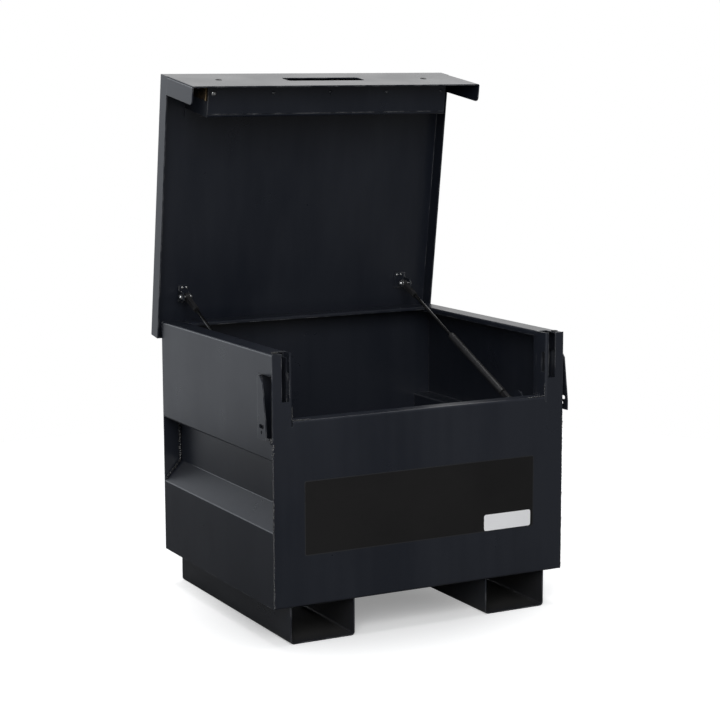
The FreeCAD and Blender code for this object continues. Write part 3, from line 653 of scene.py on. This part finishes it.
def dome_head(radius):
    """Profile of a domed rivet head with a shallow dimple."""
    return [
        (0, radius * 0.36),
        (radius * 0.25, radius * 0.36),
        (radius * 0.35, radius * 0.48),
        (radius * 0.7, radius * 0.36),
        (radius * 0.92, radius * 0.16),
        (radius, 0),
        (0, 0),
    ]


def keyhole_rim(radius):
    """Profile of the raised rim round a key plug of the given radius."""
    return [
        (radius + 0.0002, 0.0),
        (radius + 0.0002, 0.0005),
        (radius + 0.0012, 0.0008),
        (radius + 0.0022, 0.0004),
        (radius + 0.0024, 0.0),
        (radius + 0.0002, 0.0),
    ]


# Profiles with fixed sizes, as (radius, height) points
JAM_NUT = (
    (0.0047, 0.059), (0.0047, 0.064), (0.0078, 0.064), (0.0078, 0.059), (0.0047, 0.059),
)
MOUTH_RING = (
    (0.0042, -0.0015), (0.0085, -0.0015), (0.0093, 0.0),
    (0.0093, 0.008), (0.0088, 0.0095), (0.0094, 0.011),
    (0.0094, 0.013), (0.0089, 0.0145), (0.0042, 0.0145),
)
STUD_CAP = (
    (0, 0.0042), (0.002, 0.004), (0.0038, 0.0031), (0.0052, 0.0016), (0.0058, 0), (0, 0),
)
STUD_COLLAR = (
    (0.0078, 0.0041), (0.0096, 0.0043), (0.0098, 0.0046), (0.0096, 0.005), (0.0078, 0.005),
    (0.0078, 0.0041),
)


# Operators, one for each group of pieces

class BOX_OT_finishes(bpy.types.Operator):
    """Gives every steel, rubber and plastic piece of the box its finish"""

    bl_idname = "jobsite_box.finishes"
    bl_label = "Coat and metals"

    def execute(self, context):
        coat_material(context.scene.box_coat)
        weld_coat_material(context.scene.box_coat)
        zinc_material()
        rod_material()
        for brass in BRASSES:
            brass_material(*brass)
        for dark in DARKS:
            dark_material(*dark)
        for film in FILMS:
            film_material(*film)
        slots = {part["node"]: part["material_slot"] for part in frame["record"]["subparts"]}
        for name, node in NODES.items():
            node.data.materials.clear()
            node.data.materials.append(finish_of(slots[name]))
        return {"FINISHED"}


class BOX_OT_welds(bpy.types.Operator):
    """Adds the weld beads in the recesses, at the corners and under the body"""

    bl_idname = "jobsite_box.welds"
    bl_label = "Welds"

    def execute(self, context):
        settings = context.scene.box_welds
        dice = random.Random(settings.seed)
        for side, name in SIDES:
            add_recess_weld(side, name, settings, dice)
            add_corner_welds(side, name, settings, dice)
            add_skid_weld(side, name, settings, dice)
        return {"FINISHED"}


def add_recess_weld(side, name, settings, dice):
    """Ripples down both ends of a hand recess, along its wall and its slope."""
    low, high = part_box("side_panel_right")
    seat = settings.radius * BEAD_SEAT
    wall = side * (high.x - RECESS_DEPTH + seat)
    edge = side * (high.x - 0.004)
    ceiling = high.z - RECESS_CEILING
    wall_foot = ceiling - RECESS_WALL
    slope_foot = wall_foot - RECESS_SLOPE
    seam = bmesh.new()
    # Each run starts below the ceiling, bends above the wall's foot and ends before the slope's
    for end, inward in ((high.y, -1), (low.y, 1)):
        y = end + inward * seat
        run = [
            (wall, y, ceiling - 0.012),
            (wall, y, wall_foot + 0.002),
            (edge, y, slope_foot + 0.006),
        ]
        add_weld(seam, run, settings, dice)
    new_weld("recess_weld_" + name, seam)


def add_corner_welds(side, name, settings, dice):
    """Lumps below a corner guard, the seam down the corner and the joint at the sill."""
    low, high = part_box("side_panel_right")
    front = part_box("front_panel")[0].y
    guard_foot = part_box("corner_guard_" + name)[0].z
    drip_foot = guard_foot - DRIPS_END
    joint = bmesh.new()
    # The small offsets sink each weld into the sheets so far that the shut lid clears it
    face = side * (high.x - 0.0004)
    for row in LUMP_ROWS:
        z = guard_foot - 0.001 - row
        run = [(face, front + LUMPS_START, z), (face, front + LUMPS_END - row, z)]
        add_weld(joint, run, settings, dice, scale=0.8)
    drips = bmesh.new()
    x, y = side * (high.x - 0.0021), front + 0.0028
    run = [(x, y, guard_foot - DRIPS_START), (x, y, drip_foot)]
    add_weld(drips, run, settings, dice, scale=0.85)
    new_weld("corner_lumps_" + name, drips)
    seam = bmesh.new()
    x, y = side * (high.x - 0.0014), front + 0.0018
    run = [(x, y, drip_foot), (x, y, low.z + 0.004)]
    add_weld(seam, run, settings, dice, scale=0.5)
    new_weld("corner_seam_" + name, seam)
    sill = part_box("front_panel")[1].z - SILL_DROP
    mouth = side * (high.x - PILLAR_WIDTH)
    y = front + 0.004
    run = [(mouth, y, sill + 0.03), (mouth, y, sill + 0.001), (mouth - side * 0.045, y, sill)]
    add_weld(joint, run, settings, dice, scale=0.35)
    new_weld("guard_weld_" + name, joint)


def add_skid_weld(side, name, settings, dice):
    """Short stitches along both upper edges of a skid."""
    low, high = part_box("skid_" + name)
    sink = settings.radius * BEAD_SINK
    inner, outer = sorted((abs(low.x), abs(high.x)))
    z = high.z - sink
    stitches = bmesh.new()
    for x in (inner - sink, outer + sink):
        for y in SKID_STITCHES:
            start = low.y + y
            run = [(side * x, start, z), (side * x, start + STITCH_LENGTH, z)]
            add_weld(stitches, run, settings, dice)
    new_weld("skid_weld_" + name, stitches)


class BOX_OT_decals(bpy.types.Operator):
    """Adds the bare black panel with its clear border and the bare white label on the front"""

    bl_idname = "jobsite_box.decals"
    bl_label = "Vinyl panel and label"

    def execute(self, context):
        settings = context.scene.box_decals
        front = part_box("front_panel")[0].y
        left, right = settings.panel_left, settings.panel_right
        foot, head = settings.panel_foot, settings.panel_head
        border = settings.border
        inner = (left, right, foot, head)
        outer = (left - border, right + border, foot - border, head + border)
        label = (settings.label_left, settings.label_right, foot, settings.label_head)
        layers = (
            ("front_vinyl_border", "black_vinyl", "clear_film", 0.004, outer),
            ("front_vinyl_panel", "black_vinyl", "black_film", 0.003, inner),
            ("front_white_label", "white_vinyl", "white_film", 0.005, label),
        )
        for layer, (name, slot, finish, corner, edges) in enumerate(layers):
            left, right, foot, head = edges
            plate = rounded_plate(right - left, head - foot, settings.film, corner)
            middle = ((left + right) / 2, front - settings.film * layer, (foot + head) / 2)
            new_piece(name, plate, slot, "body", Matrix.Translation(middle), finish)
        return {"FINISHED"}


class BOX_OT_lock_fixings(bpy.types.Operator):
    """Adds the lock cover's screws, strips of lit brass painted as highlights on the forends' near ends, and the
    keyhole rims
    """

    bl_idname = "jobsite_box.lock_fixings"
    bl_label = "Lock screws and keyhole rims"

    def execute(self, context):
        settings = context.scene.box_fixings
        add_cover_screws(settings.screw_radius)
        for side, name in SIDES:
            plate_low, plate_high = shut_box("lock_forend_" + name)
            outer = max(abs(plate_low.x), abs(plate_high.x))
            width = plate_high.y - plate_low.y
            # Painted highlight: a thin strip of lit brass on the forend's near end, where the forend catches the
            # light
            lit_tip = rounded_plate(width, LIT_TIP_HEIGHT, thickness=0.0003, corner=0.001)
            turn = Matrix.Rotation(math.radians(90 * side), 4, "Z")
            height = plate_low.z + LIT_TIP_HEIGHT / 2 + 0.0001
            middle = (side * outer, (plate_low.y + plate_high.y) / 2, height)
            place = LID_SWING @ Matrix.Translation(middle) @ turn
            new_piece("forend_lit_tip_" + name, lit_tip, "brass", "lid", place, "lit_brass")
        rims = bmesh.new()
        forward = Matrix.Rotation(math.radians(90), 4, "X")
        for name in ("key_plug_left", "key_plug_right"):
            key_low, key_high = shut_box(name)
            radius = (key_high.x - key_low.x) / 2
            middle = ((key_low.x + key_high.x) / 2, key_low.y, key_low.z + radius)
            add_turned(rims, keyhole_rim(radius), RING_STEPS, Matrix.Translation(middle) @ forward)
        new_piece("keyhole_rims", rims, "strut_black", "lid", LID_SWING)
        return {"FINISHED"}


def add_cover_screws(radius):
    """A row of coated screws under the lock cover, with one larger zinc screw."""
    cover_low = shut_box("lock_cover")[0]
    down = Matrix.Rotation(math.radians(180), 4, "X")
    row = cover_low.y + COVER_SCREW_ROW
    screws = bmesh.new()
    for x in COVER_SCREWS:
        place = Matrix.Translation((x, row, cover_low.z))
        add_turned(screws, pan_head(radius), SCREW_STEPS, place @ down)
    new_piece("lock_cover_screws", screws, "powder_coat", "lid", LID_SWING)
    bright = bmesh.new()
    place = Matrix.Translation((ZINC_SCREW, row, cover_low.z))
    add_turned(bright, pan_head(radius * 1.25), CAP_STEPS, place @ down)
    new_piece("lock_cover_zinc_screw", bright, "zinc", "lid", LID_SWING)


class BOX_OT_hinge_rivets(bpy.types.Operator):
    """Adds the rivets along both leaves of the hinge"""

    bl_idname = "jobsite_box.hinge_rivets"
    bl_label = "Hinge rivets"

    def execute(self, context):
        settings = context.scene.box_fixings
        low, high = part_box("hinge_leaf_body")
        pitch = (high.x - low.x) / settings.rivet_count
        leaf_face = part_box("back_panel")[1].y + LEAF_THICKNESS
        lower = rivet_row(settings, pitch, low.x, leaf_face, low.z + BODY_RIVETS_RISE)
        new_piece("body_leaf_rivets", lower, "zinc", "body")
        low, high = shut_box("hinge_leaf_lid")
        rear = shut_box("lid_panel")[1].y
        upper = rivet_row(settings, pitch, low.x, rear, high.z - LID_RIVETS_DROP)
        new_piece("lid_leaf_rivets", upper, "powder_coat", "lid", LID_SWING)
        return {"FINISHED"}


def rivet_row(settings, pitch, left, y, z):
    """Rivets at an even pitch from the left end of a hinge leaf, heads to the rear."""
    rivets = bmesh.new()
    backward = Matrix.Rotation(math.radians(-90), 4, "X")
    for index in range(settings.rivet_count):
        place = Matrix.Translation((left + pitch * (index + 0.5), y, z))
        add_turned(rivets, dome_head(settings.rivet_radius), SCREW_STEPS, place @ backward)
    return rivets


class BOX_OT_strut_details(bpy.types.Operator):
    """Adds the jam nuts, mouth rings, stud caps and bracket screws of the gas struts"""

    bl_idname = "jobsite_box.strut_details"
    bl_label = "Strut nuts, rings, caps and screws"

    def execute(self, context):
        for side in ("left", "right"):
            rod_low, rod_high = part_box("strut_rod_" + side)
            x = (rod_low.x + rod_high.x) / 2
            stud_low, stud_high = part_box("strut_stud_lid_" + side)
            top = Vector((x, (stud_low.y + stud_high.y) / 2, (stud_low.z + stud_high.z) / 2))
            stud_low, stud_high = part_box("strut_stud_body_" + side)
            foot = Vector((x, (stud_low.y + stud_high.y) / 2, (stud_low.z + stud_high.z) / 2))
            along = foot - top
            aim = Matrix.Translation(top) @ along.to_track_quat("Z", "Y").to_matrix().to_4x4()
            nuts = bmesh.new()
            add_turned(nuts, JAM_NUT, HEXAGON, aim)
            new_piece("rod_jam_nut_" + side, nuts, "strut_black", "strut_rod_" + side)
            rings = bmesh.new()
            add_turned(rings, MOUTH_RING, RING_STEPS, aim @ Matrix.Translation((0, 0, TUBE_MOUTH)))
            new_piece("tube_mouth_ring_" + side, rings, "strut_black", "strut_tube_" + side)
            add_stud_caps(side, 1 if x > 0 else -1)
            add_bracket_screws(side)
        return {"FINISHED"}


def add_stud_caps(side, outward):
    """Bright domed ends and washers on the strut's two studs."""
    inboard = Matrix.Rotation(math.radians(-90 * outward), 4, "Y")
    outboard = Matrix.Rotation(math.radians(90 * outward), 4, "Y")
    for end in ("lid", "body"):
        low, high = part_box("strut_stud_" + end + "_" + side)
        head = min(abs(low.x), abs(high.x)) * outward
        middle = Vector((head, (low.y + high.y) / 2, (low.z + high.z) / 2))
        caps = bmesh.new()
        place = Matrix.Translation(middle)
        add_turned(caps, STUD_CAP, CAP_STEPS, place @ inboard)
        add_turned(caps, STUD_COLLAR, RING_STEPS, place @ outboard)
        if end == "lid":
            nut_low, nut_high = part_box("strut_nut_" + side)
            far = max(abs(nut_low.x), abs(nut_high.x)) * outward
            place = Matrix.Translation((far, middle.y, middle.z))
            add_turned(caps, STUD_CAP, CAP_STEPS, place @ outboard)
        new_piece("stud_caps_" + end + "_" + side, caps, "zinc", end)


def add_bracket_screws(side):
    """Two bright pan heads on the foot of the strut's bracket in the lid."""
    low, high = shut_box("strut_bracket_lid_" + side)
    outward = 1 if low.x > 0 else -1
    tab = max(abs(low.x), abs(high.x))
    down = Matrix.Rotation(math.radians(180), 4, "X")
    screws = bmesh.new()
    for inset in BRACKET_SCREWS:
        place = Matrix.Translation((outward * (tab - inset), low.y + 0.006, high.z - 0.003))
        add_turned(screws, pan_head(BRACKET_SCREW_RADIUS), SCREW_STEPS, place @ down)
    new_piece("bracket_screws_" + side, screws, "zinc", "lid", LID_SWING)


class BOX_OT_stage(bpy.types.Operator):
    """Sets the floor, the lamps, the surroundings and the camera"""

    bl_idname = "jobsite_box.stage"
    bl_label = "Floor, lamps and camera"

    def execute(self, context):
        settings = context.scene.box_stage
        set_floor(settings.floor_radius)
        set_surroundings(context.scene)
        for lamp in LAMPS:
            set_lamp(*lamp)
        set_camera(context.scene, settings)
        return {"FINISHED"}


def set_floor(radius):
    """Round floor, white to the camera, that keeps the box's shadow and darkens the floor near the box with
    painted shade.
    """
    shape = bmesh.new()
    bmesh.ops.create_circle(shape, cap_ends=True, segments=96, radius=radius)
    mesh = bpy.data.meshes.new("floor")
    shape.to_mesh(mesh)
    shape.free()
    floor = bpy.data.objects.new("floor", mesh)
    bpy.context.scene.collection.objects.link(floor)
    material = bpy.data.materials.new("floor_white")
    material.use_nodes = True
    tree = material.node_tree
    tree.nodes.clear()
    output = tree.nodes.new("ShaderNodeOutputMaterial")
    path = tree.nodes.new("ShaderNodeLightPath")
    white = tree.nodes.new("ShaderNodeAddShader")
    paint = tree.nodes.new("ShaderNodeBsdfDiffuse")
    glow = tree.nodes.new("ShaderNodeEmission")
    dull = tree.nodes.new("ShaderNodeBsdfDiffuse")
    paint.inputs["Color"].default_value = (*[FLOOR_WHITE] * 3, 1)
    # The glow is weaker near the box, a painted shade that keeps the shadow under it dark and darkens the floor
    # round it
    place = tree.nodes.new("ShaderNodeTexCoord")
    mapping = tree.nodes.new("ShaderNodeMapping")
    mapping.inputs["Location"].default_value = [-value for value in SHADE_MIDDLE]
    reach = tree.nodes.new("ShaderNodeVectorMath")
    reach.operation = "LENGTH"
    tree.links.new(place.outputs["Object"], mapping.inputs["Vector"])
    tree.links.new(mapping.outputs["Vector"], reach.inputs[0])
    strength = map_range(tree, reach.outputs["Value"], *SHADE_REACH, *FLOOR_GLOW)
    tree.links.new(strength, glow.inputs["Strength"])
    # The box itself sees a grey floor, darker still in its reflections
    grey = map_range(tree, path.outputs["Is Glossy Ray"], 0.0, 1.0, *FLOOR_GREY)
    tree.links.new(grey, dull.inputs["Color"])
    tree.links.new(paint.outputs[0], white.inputs[0])
    tree.links.new(glow.outputs[0], white.inputs[1])
    seen = choose(tree, path.outputs["Is Camera Ray"], dull.outputs[0], white.outputs[0])
    tree.links.new(seen, output.inputs["Surface"])
    mesh.materials.append(material)


def choose(tree, test, otherwise, chosen):
    """The chosen shader where the test is 1, and the other where it is 0."""
    mix = tree.nodes.new("ShaderNodeMixShader")
    for socket, value in zip(mix.inputs, (test, otherwise, chosen)):
        tree.links.new(value, socket)
    return mix.outputs[0]


def set_surroundings(scene):
    """White backdrop, even fill light, and a studio that only the box's gloss mirrors."""
    world = bpy.data.worlds.new("studio")
    scene.world = world
    world.use_nodes = True
    tree = world.node_tree
    tree.nodes.clear()
    output = tree.nodes.new("ShaderNodeOutputWorld")
    path = tree.nodes.new("ShaderNodeLightPath")
    backdrop = tree.nodes.new("ShaderNodeBackground")
    fill = tree.nodes.new("ShaderNodeBackground")
    mirrored = tree.nodes.new("ShaderNodeBackground")
    backdrop.inputs["Strength"].default_value = 1.0
    backdrop.inputs["Color"].default_value = (1, 1, 1, 1)
    fill.inputs["Color"].default_value = FILL_COLOUR
    fill.inputs["Strength"].default_value = FILL_STRENGTH
    place = tree.nodes.new("ShaderNodeTexCoord")
    parts = tree.nodes.new("ShaderNodeSeparateXYZ")
    tree.links.new(place.outputs["Generated"], parts.inputs["Vector"])
    across, back, height = (parts.outputs[axis] for axis in "XYZ")
    lit = map_range(tree, back, -0.1, 0.8, 0.12, 0.66)
    # Strength of each soft glow, then the directions between which it rises from none to full
    glows = (
        (0.75, (across, 0.0, 0.45), (height, 0.1, 0.4), (back, 0.2, 0.7)),
        (0.45, (across, -0.55, -0.8), (height, -0.35, -0.05)),
        (1.5, (height, 0.0, 0.12), (height, 0.3, 0.2), (back, 0.5, 0.8), (across, 0.1, -0.1)),
        (-0.25, (height, 0.28, 0.42), (back, 0.3, 0.7), (across, 0.1, -0.1)),
    )
    for strength, first, *others in glows:
        glow = map_range(tree, *first)
        for limit in others:
            glow = combine(tree, "MULTIPLY", glow, map_range(tree, *limit))
        lit = combine(tree, "MULTIPLY_ADD", glow, lit, factor=strength)
    tint = map_range(tree, across, -0.3, 0.4)
    tree.links.new(blend_colours(tree, tint, (0.9, 0.94, 1), (1, 1, 1)), mirrored.inputs["Color"])
    tree.links.new(lit, mirrored.inputs["Strength"])
    lighting = choose(tree, path.outputs["Is Glossy Ray"], fill.outputs[0], mirrored.outputs[0])
    seen = choose(tree, path.outputs["Is Camera Ray"], lighting, backdrop.outputs[0])
    tree.links.new(seen, output.inputs["Surface"])


def set_lamp(name, place, target, size, watts):
    """A square soft lamp that looks at the target."""
    data = bpy.data.lights.new(name, "AREA")
    data.shape = "SQUARE"
    data.size = size
    data.energy = watts
    lamp = bpy.data.objects.new(name, data)
    bpy.context.scene.collection.objects.link(lamp)
    lamp.location = place
    aim = Vector(target) - Vector(place)
    lamp.rotation_euler = aim.to_track_quat("-Z", "Y").to_euler()


def set_camera(scene, settings):
    """The camera, from its place, turn, tilt and roll."""
    turn, tilt, roll = settings.camera_turn, settings.camera_tilt, settings.camera_roll
    forward = Vector((
        math.sin(turn) * math.cos(tilt), math.cos(turn) * math.cos(tilt), -math.sin(tilt),
    ))
    level = Vector((math.cos(turn), -math.sin(turn), 0))
    upward = level.cross(forward)
    across = level * math.cos(roll) + upward * math.sin(roll)
    rise = upward * math.cos(roll) - level * math.sin(roll)
    data = bpy.data.cameras.new("camera")
    data.lens = settings.lens
    data.sensor_width = 36.0
    data.clip_end = 60.0
    camera = bpy.data.objects.new("camera", data)
    scene.collection.objects.link(camera)
    frame_of_view = Matrix((across, rise, -forward)).transposed().to_4x4()
    camera.matrix_world = Matrix.Translation(settings.camera_place) @ frame_of_view
    scene.camera = camera
    scene.view_settings.view_transform = "Standard"


class BOX_PT_sidebar(bpy.types.Panel):
    """Sidebar panel that lists the box's operators"""

    bl_idname = "BOX_PT_sidebar"
    bl_label = "Jobsite Box"
    bl_space_type = "VIEW_3D"
    bl_region_type = "UI"
    bl_category = "Jobsite Box"

    def draw(self, context):
        layout = self.layout
        for step in STEPS:
            layout.operator(step.bl_idname)
        for name in SETTINGS:
            group = getattr(context.scene, name)
            section = layout.box()
            for key in group.bl_rna.properties.keys():
                if key not in ("rna_type", "name"):
                    section.prop(group, key)


STEPS = (
    BOX_OT_finishes,
    BOX_OT_welds,
    BOX_OT_decals,
    BOX_OT_lock_fixings,
    BOX_OT_hinge_rivets,
    BOX_OT_strut_details,
    BOX_OT_stage,
)

SETTINGS = {
    "box_coat": CoatSettings,
    "box_welds": WeldSettings,
    "box_decals": DecalSettings,
    "box_fixings": FixingSettings,
    "box_stage": StageSettings,
}


def register():
    """Registers the settings, the operators and the sidebar."""
    for name, group in SETTINGS.items():
        bpy.utils.register_class(group)
        setattr(bpy.types.Scene, name, PointerProperty(type=group))
    for item in (*STEPS, BOX_PT_sidebar):
        bpy.utils.register_class(item)


def unregister():
    """Takes away what register added."""
    for item in (BOX_PT_sidebar, *reversed(STEPS)):
        bpy.utils.unregister_class(item)
    for name, group in SETTINGS.items():
        delattr(bpy.types.Scene, name)
        bpy.utils.unregister_class(group)


def main():
    """Runs every operator once."""
    register()
    for step in STEPS:
        group, name = step.bl_idname.split(".")
        getattr(getattr(bpy.ops, group), name)()


if __name__ == "__main__":
    main()
